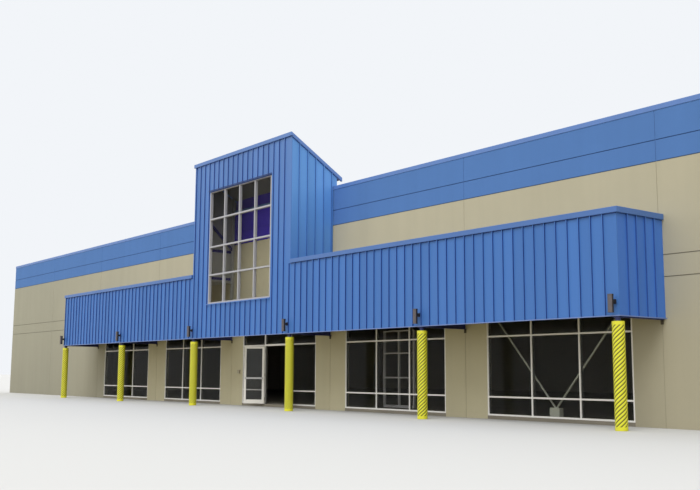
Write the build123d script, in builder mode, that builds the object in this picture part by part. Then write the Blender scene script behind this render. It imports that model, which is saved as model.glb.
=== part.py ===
from build123d import *
import os
from math import atan2, cos, radians, sin

os.makedirs("parts", exist_ok=True)

# A flooring store with tilt-up concrete walls and a metal-clad canopy, at half its real size.
# Millimetres, +Z up. The front faces -Y, X runs along it, and the origin is on the ground
# under the middle of the whole building.

# Concrete shell
bay = 3657.5
canopy_bays = 5
plain_bays = 2
depth_bays = 5
wall_thickness = 92
wall_top = 4250
panel_joint = 10
seal_setback = 4
seal_depth = 8
reveal_width = 12
reveal_depth = 8
reveal_heights = [1975, 2268, 3544, 3840]
floor_top = 54
roof_top = 3850
roof_thickness = 60
coping_height = 73
coping_overhang = 8

# Storefront openings, their frames and their glass
opening_width = 2716
opening_top = 1577
doorway_width = 930
frame_setback = 5
frame_depth = 57
frame_face = 25
transom_height = 1275
sill_rail_height = 341
door_header_face = 36
glass_thickness = 6
glass_setback = 12
lites = 3

# Canopy on its columns
column_to_wall = 945
fascia_lead = 63
cladding_thickness = 30
canopy_bottom = 1417
canopy_cladding_top = 2735
cladding_overhang = 75
cap_height = 76
cap_width = 60
cap_lead = 8
canopy_roof_top = 2720
canopy_roof_thickness = 30
drip_height = 12
drip_lead = 4
post_radius = 35
post_plate_width = 90
post_plate_thickness = 8
sleeve_radius = 80
sleeve_thickness = 5
sleeve_top = 1355
sleeve_clearance = 0.3
beam_drop = 10
beam_height = 125
beam_flange_width = 75
beam_flange_thickness = 7
beam_web_thickness = 6
bracket_height = 60
bracket_width = 46
bracket_reach = 30
bracket_thickness = 6
rail_depth = 40
rail_height = 50
upright_size = 50

# Tower over the entrance bay
tower_cladding_top = 5185
tower_slope = 0.61
tower_roof_reach = 203
tower_roof_thickness = 30
tower_roof_setdown = 12
rake_width = 48
tower_window_width = 2396
tower_window_bottom = 2132
tower_window_top = 4553
tower_frame_face = 32
tower_frame_depth = 60
tower_frame_setback = 18
tower_glass_setback = 46
tower_panes = 4
flashing_lead = 12
flashing_height = 16
flashing_side = 30
girt_height = 60
lower_girt_bottom = 2740
upper_girt_bottom = 3353
brace_width = 45
brace_top = 4200

# Entrance doors, hinged on the mullions and standing open
door_gap = 6
door_bottom_gap = 8
door_thickness = 22
stile_width = 50
top_rail = 47
bottom_rail = 80
push_bar_height = 525
push_bar_face = 35
push_bar_depth = 16
pull_length = 150
pull_radius = 6
pull_standoff = 24
hinge_radius = 5
hinge_pin_radius = 2
hinge_clearance = 0.3
hinge_height = 60
hinge_proud = 6
hinge_inset = 100
hinge_plate_thickness = 3
hinge_plate_width = 20
hinge_plate_gap = 1
open_angle = 143

# Lights on the fascia, the box by the doors, the braces behind one window and the inner screen
# behind another
lamp_radius = 39
lamp_height = 230
lamp_bottom = 1460
lamp_reach = 78
lamp_arm_radius = 11
lamp_arm_height = 1598
lamp_plate_width = 60
lamp_plate_thickness = 8
box_width = 80
box_height = 75
box_depth = 30
box_side = 130
box_bottom = 686
brace_radius = 15
brace_bays = 2
brace_shift = 100
brace_spread = 1240
brace_setback = 45
brace_top_height = 1640
brace_shoe_width = 90
brace_shoe_height = 150
screen_bays = 1
screen_shift = 935
screen_setback = 950
screen_width = 880
screen_depth = 45
screen_height = 1460
screen_rail_heights = [630, 1092]
screen_bottom_rail = 50

# Lines that the sizes above settle
canopy_half = canopy_bays * bay / 2 + cladding_overhang
half_width = (canopy_bays + 2 * plain_bays) * bay / 2 - panel_joint / 2
hall_depth = depth_bays * bay
lamp_front = fascia_lead + lamp_reach + lamp_radius
overall_depth = lamp_front + column_to_wall + hall_depth + coping_overhang
column_y = lamp_front - overall_depth / 2
wall_y = column_y + column_to_wall
wall_back_y = wall_y + wall_thickness
rear_y = wall_y + hall_depth
rear_inner_y = rear_y - wall_thickness
inner_half = half_width - wall_thickness
fascia_y = column_y - fascia_lead
fascia_back_y = fascia_y + cladding_thickness
parapet_top = wall_top + coping_height
frame_y = wall_y + frame_setback
beam_bottom = canopy_bottom - beam_drop
beam_top = beam_bottom + beam_height
post_top = beam_bottom - post_plate_thickness
canopy_roof_bottom = canopy_roof_top - canopy_roof_thickness
tower_half = bay / 2 + cladding_overhang
tower_inner = tower_half - cladding_thickness
tower_top = tower_cladding_top + cap_height
tower_back_y = wall_back_y
tower_eave_y = tower_back_y + tower_roof_reach - wall_thickness
window_bays = [i - (canopy_bays - 1) / 2 for i in range(canopy_bays) if 2 * i != canopy_bays - 1]
column_x = [(i - canopy_bays / 2) * bay for i in range(canopy_bays + 1)]
tower_column_x = [-bay / 2, bay / 2]
outer_column_x = [x for x in column_x if abs(x) > bay / 2]

# Upright planes whose local x and y lie in a wall's outer face
wall_front = Plane(origin=(0, wall_y, 0), x_dir=(1, 0, 0), z_dir=(0, -1, 0))
wall_left = Plane(origin=(-half_width, 0, 0), x_dir=(0, -1, 0), z_dir=(-1, 0, 0))
wall_rear = Plane(origin=(0, rear_y, 0), x_dir=(-1, 0, 0), z_dir=(0, 1, 0))
fascia_front = Plane(origin=(0, fascia_y, 0), x_dir=(1, 0, 0), z_dir=(0, -1, 0))
frame_front = Plane(origin=(0, frame_y, 0), x_dir=(1, 0, 0), z_dir=(0, -1, 0))
across = Plane.YZ


def middle(low, high):
    """The point halfway between two values."""
    return (low + high) / 2


def rake_height(y, drop=0):
    """Height of the tower's sloping edge at y, or of a line that far under it."""
    return tower_top - drop - tower_slope * (y - (fascia_y - cap_lead))


def cut_reveals(face, length):
    """Cut the level grooves along the outer face of a wall, in the part being built."""
    with BuildSketch(face) as grooves:
        with Locations(*[(0, height) for height in reveal_heights]):
            Rectangle(length, reveal_width)
    extrude(grooves.sketch, amount=-reveal_depth, mode=Mode.SUBTRACT)


def save(part, name):
    """Label a finished piece and write its file."""
    part.label = name
    export_step(part, f"parts/{name}.step")


# Plain tilt-up panels at both ends of the front
end_panel_x = [(canopy_bays / 2 + i + 0.5) * bay for i in range(plain_bays)]
with BuildPart() as front_end_panels:
    with BuildSketch(wall_front):
        with Locations(*[(side * x, wall_top / 2) for side in (-1, 1) for x in end_panel_x]):
            Rectangle(bay - panel_joint, wall_top)
    extrude(amount=-wall_thickness)
    cut_reveals(wall_front, 2 * half_width)
save(front_end_panels.part, "front_end_panels")

# Tilt-up panels with a storefront opening down to the floor
with BuildPart() as front_window_panels:
    with BuildSketch(wall_front):
        with Locations(*[(i * bay, wall_top / 2) for i in window_bays]):
            Rectangle(bay - panel_joint, wall_top)
        with Locations(*[(i * bay, opening_top / 2) for i in window_bays]):
            Rectangle(opening_width, opening_top, mode=Mode.SUBTRACT)
    extrude(amount=-wall_thickness)
    cut_reveals(wall_front, 2 * half_width)
save(front_window_panels.part, "front_window_panels")

# The entrance panel: a leg each side of the opening and the wall over it
leg_width = (bay - panel_joint - opening_width) / 2
leg_x = (opening_width + leg_width) / 2
with BuildPart() as entrance_legs:
    with BuildSketch(wall_front):
        with Locations((-leg_x, opening_top / 2), (leg_x, opening_top / 2)):
            Rectangle(leg_width, opening_top)
    extrude(amount=-wall_thickness)
save(entrance_legs.part, "entrance_legs")

with BuildPart() as entrance_lintel:
    with BuildSketch(wall_front):
        with Locations((0, middle(opening_top, wall_top))):
            Rectangle(bay - panel_joint, wall_top - opening_top)
    extrude(amount=-wall_thickness)
    cut_reveals(wall_front, 2 * half_width)
save(entrance_lintel.part, "entrance_lintel")

# Side walls between the front and the rear, one strip cut into panels by its joints
side_y = (wall_back_y + panel_joint, rear_inner_y - panel_joint)
side_joint_y = [wall_y + i * bay for i in range(1, depth_bays)]
with BuildPart() as left_wall:
    with BuildSketch(wall_left):
        with Locations((-middle(*side_y), wall_top / 2)):
            Rectangle(side_y[1] - side_y[0], wall_top)
        with Locations(*[(-y, wall_top / 2) for y in side_joint_y]):
            Rectangle(panel_joint, wall_top, mode=Mode.SUBTRACT)
    extrude(amount=-wall_thickness)
    cut_reveals(wall_left, 2 * overall_depth)
save(left_wall.part, "left_wall")

with BuildPart() as right_wall:
    mirror(left_wall.part, about=Plane.YZ)
save(right_wall.part, "right_wall")

front_bays = canopy_bays + 2 * plain_bays
bay_centres = [(i - (front_bays - 1) / 2) * bay for i in range(front_bays)]
with BuildPart() as rear_wall:
    with BuildSketch(wall_rear):
        with Locations(*[(x, wall_top / 2) for x in bay_centres]):
            Rectangle(bay - panel_joint, wall_top)
    extrude(amount=-wall_thickness)
    cut_reveals(wall_rear, 2 * half_width)
save(rear_wall.part, "rear_wall")

# Sealant set back in every joint between panels
joint_x = [(i - front_bays / 2) * bay for i in range(1, front_bays)]
seal_in = seal_setback + seal_depth / 2
corner_y = (wall_back_y + panel_joint / 2, rear_inner_y - panel_joint / 2)
with BuildPart() as panel_joint_seals:
    with BuildSketch(Plane.XY):
        with Locations(*[(x, y) for x in joint_x for y in (wall_y + seal_in, rear_y - seal_in)]):
            Rectangle(panel_joint, seal_depth)
        with Locations(*[(side * (half_width - seal_in), y)
                         for side in (-1, 1) for y in [*side_joint_y, *corner_y]]):
            Rectangle(seal_depth, panel_joint)
    extrude(amount=wall_top)
save(panel_joint_seals.part, "panel_joint_seals")

# Floor slab inside the walls, run out under the storefront openings
storefront_x = [(i - (canopy_bays - 1) / 2) * bay for i in range(canopy_bays)]
with BuildPart() as floor_slab:
    with BuildSketch(Plane.XY):
        with Locations((0, middle(wall_back_y, rear_inner_y))):
            Rectangle(2 * inner_half, rear_inner_y - wall_back_y)
        with Locations(*[(x, middle(wall_y, wall_back_y)) for x in storefront_x]):
            Rectangle(opening_width, wall_thickness)
    extrude(amount=floor_top)
save(floor_slab.part, "floor_slab")

with BuildPart() as roof_deck:
    with BuildSketch(Plane.XY.offset(roof_top)):
        with Locations((0, middle(wall_back_y, rear_inner_y))):
            Rectangle(2 * inner_half, rear_inner_y - wall_back_y)
    extrude(amount=-roof_thickness)
save(roof_deck.part, "roof_deck")

# Sheet-metal copings on the parapets
coping_width = wall_thickness + 2 * coping_overhang
coping_length = 2 * (half_width + coping_overhang)
with BuildPart() as long_copings:
    with BuildSketch(Plane.XY.offset(wall_top)):
        with Locations((0, middle(wall_y, wall_back_y)), (0, middle(rear_inner_y, rear_y))):
            Rectangle(coping_length, coping_width)
    extrude(amount=coping_height)
save(long_copings.part, "long_copings")

side_coping_y = (wall_back_y + coping_overhang, rear_inner_y - coping_overhang)
with BuildPart() as side_copings:
    with BuildSketch(Plane.XY.offset(wall_top)):
        with Locations(*[(side * (half_width - wall_thickness / 2), middle(*side_coping_y))
                         for side in (-1, 1)]):
            Rectangle(coping_width, side_coping_y[1] - side_coping_y[0])
    extrude(amount=coping_height)
save(side_copings.part, "side_copings")

# Storefront frames, each one piece of bars round three lites across and three up
lite_pitch = (opening_width - frame_face) / lites
lite_width = lite_pitch - frame_face
lite_x = [(i - (lites - 1) / 2) * lite_pitch for i in range(lites)]
pane_rows = [
    (floor_top + frame_face, sill_rail_height - frame_face / 2),
    (sill_rail_height + frame_face / 2, transom_height - frame_face / 2),
    (transom_height + frame_face / 2, opening_top - frame_face),
]
window_panes = [(i * bay + x, row) for i in window_bays for x in lite_x for row in pane_rows]
with BuildPart() as window_frames:
    with BuildSketch(frame_front):
        with Locations(*[(i * bay, middle(floor_top, opening_top)) for i in window_bays]):
            Rectangle(opening_width, opening_top - floor_top)
        for x, (low, high) in window_panes:
            with Locations((x, middle(low, high))):
                Rectangle(lite_width, high - low, mode=Mode.SUBTRACT)
    extrude(amount=-frame_depth)
save(window_frames.part, "window_frames")

glass_plane = frame_front.offset(-glass_setback)
with BuildPart() as window_glass:
    with BuildSketch(glass_plane):
        for x, (low, high) in window_panes:
            with Locations((x, middle(low, high))):
                Rectangle(lite_width, high - low)
    extrude(amount=-glass_thickness)
save(window_glass.part, "window_glass")

# Entrance frame: a fixed screen each side of the doorway and a transom light over it
header_bottom = transom_height - door_header_face / 2
header_top = transom_height + door_header_face / 2
doorway_half = doorway_width / 2
side_lite_width = opening_width / 2 - doorway_half - 2 * frame_face
side_lite_x = doorway_half + frame_face + side_lite_width / 2
side_panes = [(side * side_lite_x, row) for side in (-1, 1) for row in pane_rows]
with BuildPart() as entrance_screens:
    with BuildSketch(frame_front):
        with Locations(*[(side * side_lite_x, middle(floor_top, opening_top)) for side in (-1, 1)]):
            Rectangle(side_lite_width + 2 * frame_face, opening_top - floor_top)
        for x, (low, high) in side_panes:
            with Locations((x, middle(low, high))):
                Rectangle(side_lite_width, high - low, mode=Mode.SUBTRACT)
    extrude(amount=-frame_depth)
save(entrance_screens.part, "entrance_screens")

transom_pane = (header_top, opening_top - frame_face)
with BuildPart() as entrance_header:
    with BuildSketch(frame_front):
        with Locations((0, middle(header_bottom, header_top))):
            Rectangle(doorway_width, door_header_face)
        with Locations((0, opening_top - frame_face / 2)):
            Rectangle(doorway_width, frame_face)
    extrude(amount=-frame_depth)
save(entrance_header.part, "entrance_header")

with BuildPart() as entrance_glass:
    with BuildSketch(glass_plane):
        for x, (low, high) in side_panes:
            with Locations((x, middle(low, high))):
                Rectangle(side_lite_width, high - low)
        with Locations((0, middle(*transom_pane))):
            Rectangle(doorway_width, transom_pane[1] - transom_pane[0])
    extrude(amount=-glass_thickness)
save(entrance_glass.part, "entrance_glass")

# Door leaves. Each is drawn in a plane whose origin is the hinge line and whose x runs along the leaf.
hinge_x = -(doorway_half - door_gap / 2)
hinge_y = frame_y - hinge_proud
leaf_direction = (cos(radians(open_angle)), -sin(radians(open_angle)), 0)
leaf_normal = (-sin(radians(open_angle)), -cos(radians(open_angle)), 0)
leaf_start = door_gap / 2
leaf_width = doorway_half - door_gap - door_gap / 2
leaf_bottom = floor_top + door_bottom_gap
leaf_top = header_bottom - door_gap
leaf_height = leaf_top - leaf_bottom
hinge_line = Plane(origin=(hinge_x, hinge_y, 0), x_dir=leaf_direction, z_dir=leaf_normal)
leaf_face = hinge_line.offset(-hinge_proud)
leaf_back = leaf_face.offset(-door_thickness)
leaf_x = leaf_start + leaf_width / 2
leaf_glass_width = leaf_width - 2 * stile_width
leaf_glass = (leaf_bottom + bottom_rail, leaf_top - top_rail)
with BuildPart() as door_left_frame:
    with BuildSketch(leaf_face):
        with Locations((leaf_x, middle(leaf_bottom, leaf_top))):
            Rectangle(leaf_width, leaf_height)
        with Locations((leaf_x, middle(*leaf_glass))):
            Rectangle(leaf_glass_width, leaf_glass[1] - leaf_glass[0], mode=Mode.SUBTRACT)
    extrude(amount=-door_thickness)
save(door_left_frame.part, "door_left_frame")

with BuildPart() as door_left_glass:
    with BuildSketch(leaf_face.offset(-(door_thickness - glass_thickness) / 2)):
        with Locations((leaf_x, middle(*leaf_glass))):
            Rectangle(leaf_glass_width, leaf_glass[1] - leaf_glass[0])
    extrude(amount=-glass_thickness)
save(door_left_glass.part, "door_left_glass")

# Hardware: a push bar across the inner side, a pull on the outer side, and the knuckles of
# three hinges, which turn on pins between fixed knuckles
push_bar_z = leaf_bottom + push_bar_height
pull_x = leaf_start + leaf_width - stile_width / 2
hinge_z = [leaf_bottom + hinge_inset, middle(leaf_bottom, leaf_top), leaf_top - hinge_inset]
knuckle = hinge_height / 3
plate_start = hinge_radius + hinge_plate_gap
plate_y = hinge_proud - hinge_plate_thickness / 2
with BuildPart() as door_left_hardware:
    with BuildSketch(leaf_back):
        with Locations((leaf_x, push_bar_z)):
            Rectangle(leaf_width - stile_width, push_bar_face)
    extrude(amount=-push_bar_depth)
    with BuildSketch(leaf_face):
        with Locations((pull_x, push_bar_z - pull_length / 2), (pull_x, push_bar_z + pull_length / 2)):
            Circle(pull_radius)
    extrude(amount=pull_standoff)
    with BuildSketch(leaf_face.offset(pull_standoff)):
        with Locations((pull_x, push_bar_z)):
            Rectangle(2 * pull_radius, pull_length + 4 * pull_radius)
    extrude(amount=2 * pull_radius)
    for z in hinge_z:
        foot = (hinge_x, hinge_y, z - knuckle / 2)
        with BuildSketch(Plane(origin=foot, x_dir=leaf_direction, z_dir=(0, 0, 1))):
            Circle(hinge_radius)
            with Locations((hinge_plate_width / 2, plate_y)):
                Rectangle(hinge_plate_width, hinge_plate_thickness)
            Circle(hinge_pin_radius + hinge_clearance, mode=Mode.SUBTRACT)
        extrude(amount=knuckle)
save(door_left_hardware.part, "door_left_hardware")

# Fixed hinge halves on the mullions: two knuckles and a pin on each plate
fixed_knuckle = knuckle - hinge_clearance
hinge_foot = Plane(origin=(hinge_x, hinge_y, 0), x_dir=(1, 0, 0), z_dir=(0, 0, 1))
with BuildPart() as left_hinge_plates:
    for z in hinge_z:
        with BuildSketch(hinge_foot.offset(z - hinge_height / 2)):
            Circle(hinge_radius)
            with Locations((-hinge_plate_width / 2, plate_y)):
                Rectangle(hinge_plate_width, hinge_plate_thickness)
        extrude(amount=fixed_knuckle)
        with BuildSketch(hinge_foot.offset(z + hinge_height / 2 - fixed_knuckle)):
            Circle(hinge_radius)
            with Locations((-hinge_plate_width / 2, plate_y)):
                Rectangle(hinge_plate_width, hinge_plate_thickness)
        extrude(amount=fixed_knuckle)
        with BuildSketch(hinge_foot.offset(z - hinge_height / 2)):
            Circle(hinge_pin_radius)
            with Locations((-middle(plate_start, hinge_plate_width), plate_y)):
                Rectangle(hinge_plate_width - plate_start, hinge_plate_thickness)
        extrude(amount=hinge_height)

with BuildPart() as hinge_plates:
    add(left_hinge_plates.part)
    mirror(left_hinge_plates.part, about=Plane.YZ)
save(hinge_plates.part, "hinge_plates")

for name, left in (("frame", door_left_frame), ("glass", door_left_glass),
                   ("hardware", door_left_hardware)):
    with BuildPart() as door_right_piece:
        mirror(left.part, about=Plane.YZ)
    save(door_right_piece.part, f"door_right_{name}")

# Canopy cladding: two long fronts, an end each side, and the tower's front between them
canopy_front_length = canopy_half - tower_half
canopy_front_x = middle(tower_half, canopy_half)
with BuildPart() as canopy_fronts:
    with BuildSketch(fascia_front):
        with Locations(*[(side * canopy_front_x, middle(canopy_bottom, canopy_cladding_top))
                         for side in (-1, 1)]):
            Rectangle(canopy_front_length, canopy_cladding_top - canopy_bottom)
    extrude(amount=-cladding_thickness)
save(canopy_fronts.part, "canopy_fronts")

end_x = canopy_half - cladding_thickness / 2
with BuildPart() as canopy_ends:
    with BuildSketch(Plane.XY.offset(canopy_bottom)):
        with Locations(*[(side * end_x, middle(fascia_back_y, wall_y)) for side in (-1, 1)]):
            Rectangle(cladding_thickness, wall_y - fascia_back_y)
    extrude(amount=canopy_cladding_top - canopy_bottom)
save(canopy_ends.part, "canopy_ends")

with BuildPart() as tower_front:
    with BuildSketch(fascia_front):
        with Locations((0, middle(canopy_bottom, tower_cladding_top))):
            Rectangle(2 * tower_half, tower_cladding_top - canopy_bottom)
        with Locations((0, middle(tower_window_bottom, tower_window_top))):
            Rectangle(tower_window_width, tower_window_top - tower_window_bottom, mode=Mode.SUBTRACT)
    extrude(amount=-cladding_thickness)
save(tower_front.part, "tower_front")

# Tower sides: they stand on the canopy roof, pass over the parapet and slope down behind
side_outline = [
    (fascia_back_y, canopy_roof_top),
    (wall_y, canopy_roof_top),
    (wall_y, wall_top),
    (wall_y - coping_overhang, wall_top),
    (wall_y - coping_overhang, parapet_top),
    (tower_back_y, parapet_top),
    (tower_back_y, rake_height(tower_back_y, cap_height)),
    (fascia_back_y, rake_height(fascia_back_y, cap_height)),
]
with BuildPart() as tower_sides:
    with BuildSketch(across.offset(-tower_half), across.offset(tower_inner)):
        Polygon(*side_outline, align=None)
    extrude(amount=cladding_thickness)
save(tower_sides.part, "tower_sides")

# Caps along the top of the cladding
cap_y = fascia_y - cap_lead + cap_width / 2
cap_outer = canopy_half + cap_lead
with BuildPart() as canopy_front_caps:
    with BuildSketch(Plane.XY.offset(canopy_cladding_top)):
        with Locations(*[(side * middle(tower_half, cap_outer), cap_y) for side in (-1, 1)]):
            Rectangle(cap_outer - tower_half, cap_width)
    extrude(amount=cap_height)
save(canopy_front_caps.part, "canopy_front_caps")

end_cap_y = (fascia_y - cap_lead + cap_width, wall_y)
with BuildPart() as canopy_end_caps:
    with BuildSketch(Plane.XY.offset(canopy_cladding_top)):
        with Locations(*[(side * (cap_outer - cap_width / 2), middle(*end_cap_y)) for side in (-1, 1)]):
            Rectangle(cap_width, end_cap_y[1] - end_cap_y[0])
    extrude(amount=cap_height)
save(canopy_end_caps.part, "canopy_end_caps")

cap_back_y = fascia_y - cap_lead + cap_width
front_cap_outline = [
    (fascia_y - cap_lead, tower_top - cap_height),
    (fascia_back_y, tower_cladding_top),
    (fascia_back_y, rake_height(fascia_back_y, cap_height)),
    (cap_back_y, rake_height(cap_back_y, cap_height)),
    (cap_back_y, rake_height(cap_back_y)),
    (fascia_y - cap_lead, tower_top),
]
rake_outer = tower_half + cap_lead
with BuildPart() as tower_front_cap:
    with BuildSketch(across.offset(-rake_outer)):
        Polygon(*front_cap_outline, align=None)
    extrude(amount=2 * rake_outer)
save(tower_front_cap.part, "tower_front_cap")

rake_outline = [
    (cap_back_y, rake_height(cap_back_y, cap_height)),
    (tower_eave_y, rake_height(tower_eave_y, cap_height)),
    (tower_eave_y, rake_height(tower_eave_y)),
    (cap_back_y, rake_height(cap_back_y)),
]
with BuildPart() as tower_rake_caps:
    with BuildSketch(across.offset(-rake_outer), across.offset(rake_outer - rake_width)):
        Polygon(*rake_outline, align=None)
    extrude(amount=rake_width)
save(tower_rake_caps.part, "tower_rake_caps")

roof_low = tower_roof_setdown + tower_roof_thickness
tower_roof_half = rake_outer - rake_width
tower_roof_outline = [
    (cap_back_y, rake_height(cap_back_y, roof_low)),
    (tower_eave_y, rake_height(tower_eave_y, roof_low)),
    (tower_eave_y, rake_height(tower_eave_y, tower_roof_setdown)),
    (cap_back_y, rake_height(cap_back_y, tower_roof_setdown)),
]
with BuildPart() as tower_roof:
    with BuildSketch(across.offset(-tower_roof_half)):
        Polygon(*tower_roof_outline, align=None)
    extrude(amount=2 * tower_roof_half)
save(tower_roof.part, "tower_roof")

# The strip that closes the tower's back between the parapet and the roof
back_panel_y = tower_back_y - cladding_thickness
back_outline = [
    (back_panel_y, parapet_top),
    (tower_back_y, parapet_top),
    (tower_back_y, rake_height(tower_back_y, roof_low)),
    (back_panel_y, rake_height(back_panel_y, roof_low)),
]
back_half = min(tower_inner, tower_roof_half)
with BuildPart() as tower_back_panel:
    with BuildSketch(across.offset(-back_half)):
        Polygon(*back_outline, align=None)
    extrude(amount=2 * back_half)
save(tower_back_panel.part, "tower_back_panel")

# Flat canopy roofs each side of the tower
canopy_inner = canopy_half - cladding_thickness
with BuildPart() as canopy_roofs:
    with BuildSketch(Plane.XY.offset(canopy_roof_bottom)):
        with Locations(*[(side * middle(tower_inner, canopy_inner), middle(fascia_back_y, wall_y))
                         for side in (-1, 1)]):
            Rectangle(canopy_inner - tower_inner, wall_y - fascia_back_y)
    extrude(amount=canopy_roof_thickness)
save(canopy_roofs.part, "canopy_roofs")

# A thin drip edge along the bottom of the cladding
with BuildPart() as drip_edges:
    with BuildSketch(Plane.XY.offset(canopy_bottom)):
        with Locations((0, fascia_y - drip_lead / 2)):
            Rectangle(2 * (canopy_half + drip_lead), drip_lead)
        with Locations(*[(side * (canopy_half + drip_lead / 2), middle(fascia_y, wall_y))
                         for side in (-1, 1)]):
            Rectangle(drip_lead, wall_y - fascia_y)
    extrude(amount=drip_height)
save(drip_edges.part, "drip_edges")

# Columns: a pipe post with a cap plate, inside a corrugated sleeve closed at its top
with BuildPart() as canopy_posts:
    with BuildSketch(Plane.XY):
        with Locations(*[(x, column_y) for x in column_x]):
            Circle(post_radius)
    extrude(amount=post_top)
    with BuildSketch(Plane.XY.offset(post_top)):
        with Locations(*[(x, column_y) for x in column_x]):
            Rectangle(post_plate_width, post_plate_width)
    extrude(amount=post_plate_thickness)
save(canopy_posts.part, "canopy_posts")

with BuildPart() as column_sleeves:
    with BuildSketch(Plane.XY):
        with Locations(*[(x, column_y) for x in column_x]):
            Circle(sleeve_radius)
            Circle(sleeve_radius - sleeve_thickness, mode=Mode.SUBTRACT)
    extrude(amount=sleeve_top - sleeve_thickness)
    with BuildSketch(Plane.XY.offset(sleeve_top - sleeve_thickness)):
        with Locations(*[(x, column_y) for x in column_x]):
            Circle(sleeve_radius)
            Circle(post_radius + sleeve_clearance, mode=Mode.SUBTRACT)
    extrude(amount=sleeve_thickness)
save(column_sleeves.part, "column_sleeves")

# Beams from the columns back to the wall, each on a bracket
flange_z = (beam_bottom + beam_flange_thickness / 2, beam_top - beam_flange_thickness / 2)
with BuildPart() as canopy_beams:
    with BuildSketch(wall_front):
        with Locations(*[(x, beam_bottom + beam_height / 2) for x in column_x]):
            Rectangle(beam_web_thickness, beam_height)
        with Locations(*[(x, z) for x in column_x for z in flange_z]):
            Rectangle(beam_flange_width, beam_flange_thickness)
    extrude(amount=wall_y - fascia_back_y)
save(canopy_beams.part, "canopy_beams")

bracket_low = beam_bottom - bracket_height
bracket_face_y = wall_y - bracket_thickness
with BuildPart() as beam_brackets:
    for x in column_x:
        with BuildSketch(across.offset(x - bracket_thickness / 2)):
            Polygon((bracket_face_y, bracket_low), (bracket_face_y, beam_bottom),
                    (wall_y - bracket_reach, beam_bottom), align=None)
        extrude(amount=bracket_thickness)
    with BuildSketch(wall_front):
        with Locations(*[(x, middle(bracket_low, beam_bottom)) for x in column_x]):
            Rectangle(bracket_width, bracket_height)
    extrude(amount=bracket_thickness)
save(beam_brackets.part, "beam_brackets")

# Rails behind the cladding of the canopy and round the tower's window
rail_y = (fascia_back_y, fascia_back_y + rail_depth)
top_rail_x = (tower_inner, canopy_inner)
tower_post_outer = bay / 2 + upright_size / 2
tower_rail_z = [
    tower_window_bottom - rail_height,
    tower_window_top,
    rake_height(rail_y[1], cap_height) - rail_height,
]
with BuildPart() as cladding_rails:
    with BuildSketch(Plane.XY.offset(beam_top)):
        with Locations((0, middle(*rail_y))):
            Rectangle(2 * canopy_inner, rail_depth)
    extrude(amount=rail_height)
    with BuildSketch(Plane.XY.offset(canopy_roof_bottom - rail_height)):
        with Locations(*[(side * middle(*top_rail_x), middle(*rail_y)) for side in (-1, 1)]):
            Rectangle(top_rail_x[1] - top_rail_x[0], rail_depth)
    extrude(amount=rail_height)
    with BuildSketch(*[Plane.XY.offset(z) for z in tower_rail_z]):
        with Locations((0, middle(*rail_y))):
            Rectangle(2 * tower_post_outer, rail_depth)
    extrude(amount=rail_height)
save(cladding_rails.part, "cladding_rails")

# Uprights on the beams: under the canopy roof, and four up to the tower roof
upright_y = rail_y[1] + upright_size / 2
rear_upright_y = wall_y - coping_overhang - upright_size / 2
with BuildPart() as cladding_uprights:
    with BuildSketch(Plane.XY.offset(beam_top)):
        with Locations(*[(x, upright_y) for x in outer_column_x]):
            Rectangle(upright_size, upright_size)
    extrude(amount=canopy_roof_bottom - beam_top)
    for y in (upright_y, rear_upright_y):
        back = y + upright_size / 2
        front = y - upright_size / 2
        with BuildSketch(*[across.offset(x - upright_size / 2) for x in tower_column_x]):
            Polygon((front, beam_top), (back, beam_top), (back, rake_height(back, roof_low)),
                    (front, rake_height(front, roof_low)), align=None)
        extrude(amount=upright_size)
save(cladding_uprights.part, "cladding_uprights")

# Girts and a brace on each side of the tower
girt_y = (fascia_back_y, wall_y - coping_overhang)
with BuildPart() as tower_girts:
    for z in (lower_girt_bottom, upper_girt_bottom):
        with BuildSketch(Plane.XY.offset(z)):
            with Locations(*[(side * middle(tower_post_outer, tower_inner), middle(*girt_y))
                             for side in (-1, 1)]):
                Rectangle(tower_inner - tower_post_outer, girt_y[1] - girt_y[0])
        extrude(amount=girt_height)
save(tower_girts.part, "tower_girts")

# Braces in the plane of the tower posts, from high at the front to the upper girt at the back
brace_front = (upright_y + upright_size / 2, brace_top)
brace_back = (rear_upright_y - upright_size / 2, upper_girt_bottom + girt_height)
brace_rise = brace_width / cos(atan2(brace_front[1] - brace_back[1], brace_back[0] - brace_front[0]))
with BuildPart() as tower_braces:
    with BuildSketch(*[across.offset(x - brace_width / 2) for x in tower_column_x]):
        Polygon(brace_front, brace_back, (brace_back[0], brace_back[1] + brace_rise),
                (brace_front[0], brace_front[1] + brace_rise), align=None)
    extrude(amount=brace_width)
save(tower_braces.part, "tower_braces")

# Tower window: the frame of bars, its glass and its flashings
tower_window_height = tower_window_top - tower_window_bottom
tower_pitch_x = (tower_window_width - tower_frame_face) / tower_panes
tower_pitch_z = (tower_window_height - tower_frame_face) / tower_panes
tower_window_z = middle(tower_window_bottom, tower_window_top)
tower_pane = (tower_pitch_x - tower_frame_face, tower_pitch_z - tower_frame_face)
tower_frame_plane = fascia_front.offset(-tower_frame_setback)
with BuildPart() as tower_window_frame:
    with BuildSketch(tower_frame_plane):
        with Locations((0, tower_window_z)):
            Rectangle(tower_window_width, tower_window_height)
            with GridLocations(tower_pitch_x, tower_pitch_z, tower_panes, tower_panes):
                Rectangle(*tower_pane, mode=Mode.SUBTRACT)
    extrude(amount=-tower_frame_depth)
save(tower_window_frame.part, "tower_window_frame")

with BuildPart() as tower_window_glass:
    with BuildSketch(tower_frame_plane.offset(-tower_glass_setback)):
        with Locations((0, tower_window_z)):
            with GridLocations(tower_pitch_x, tower_pitch_z, tower_panes, tower_panes):
                Rectangle(*tower_pane)
    extrude(amount=-glass_thickness)
save(tower_window_glass.part, "tower_window_glass")

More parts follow.
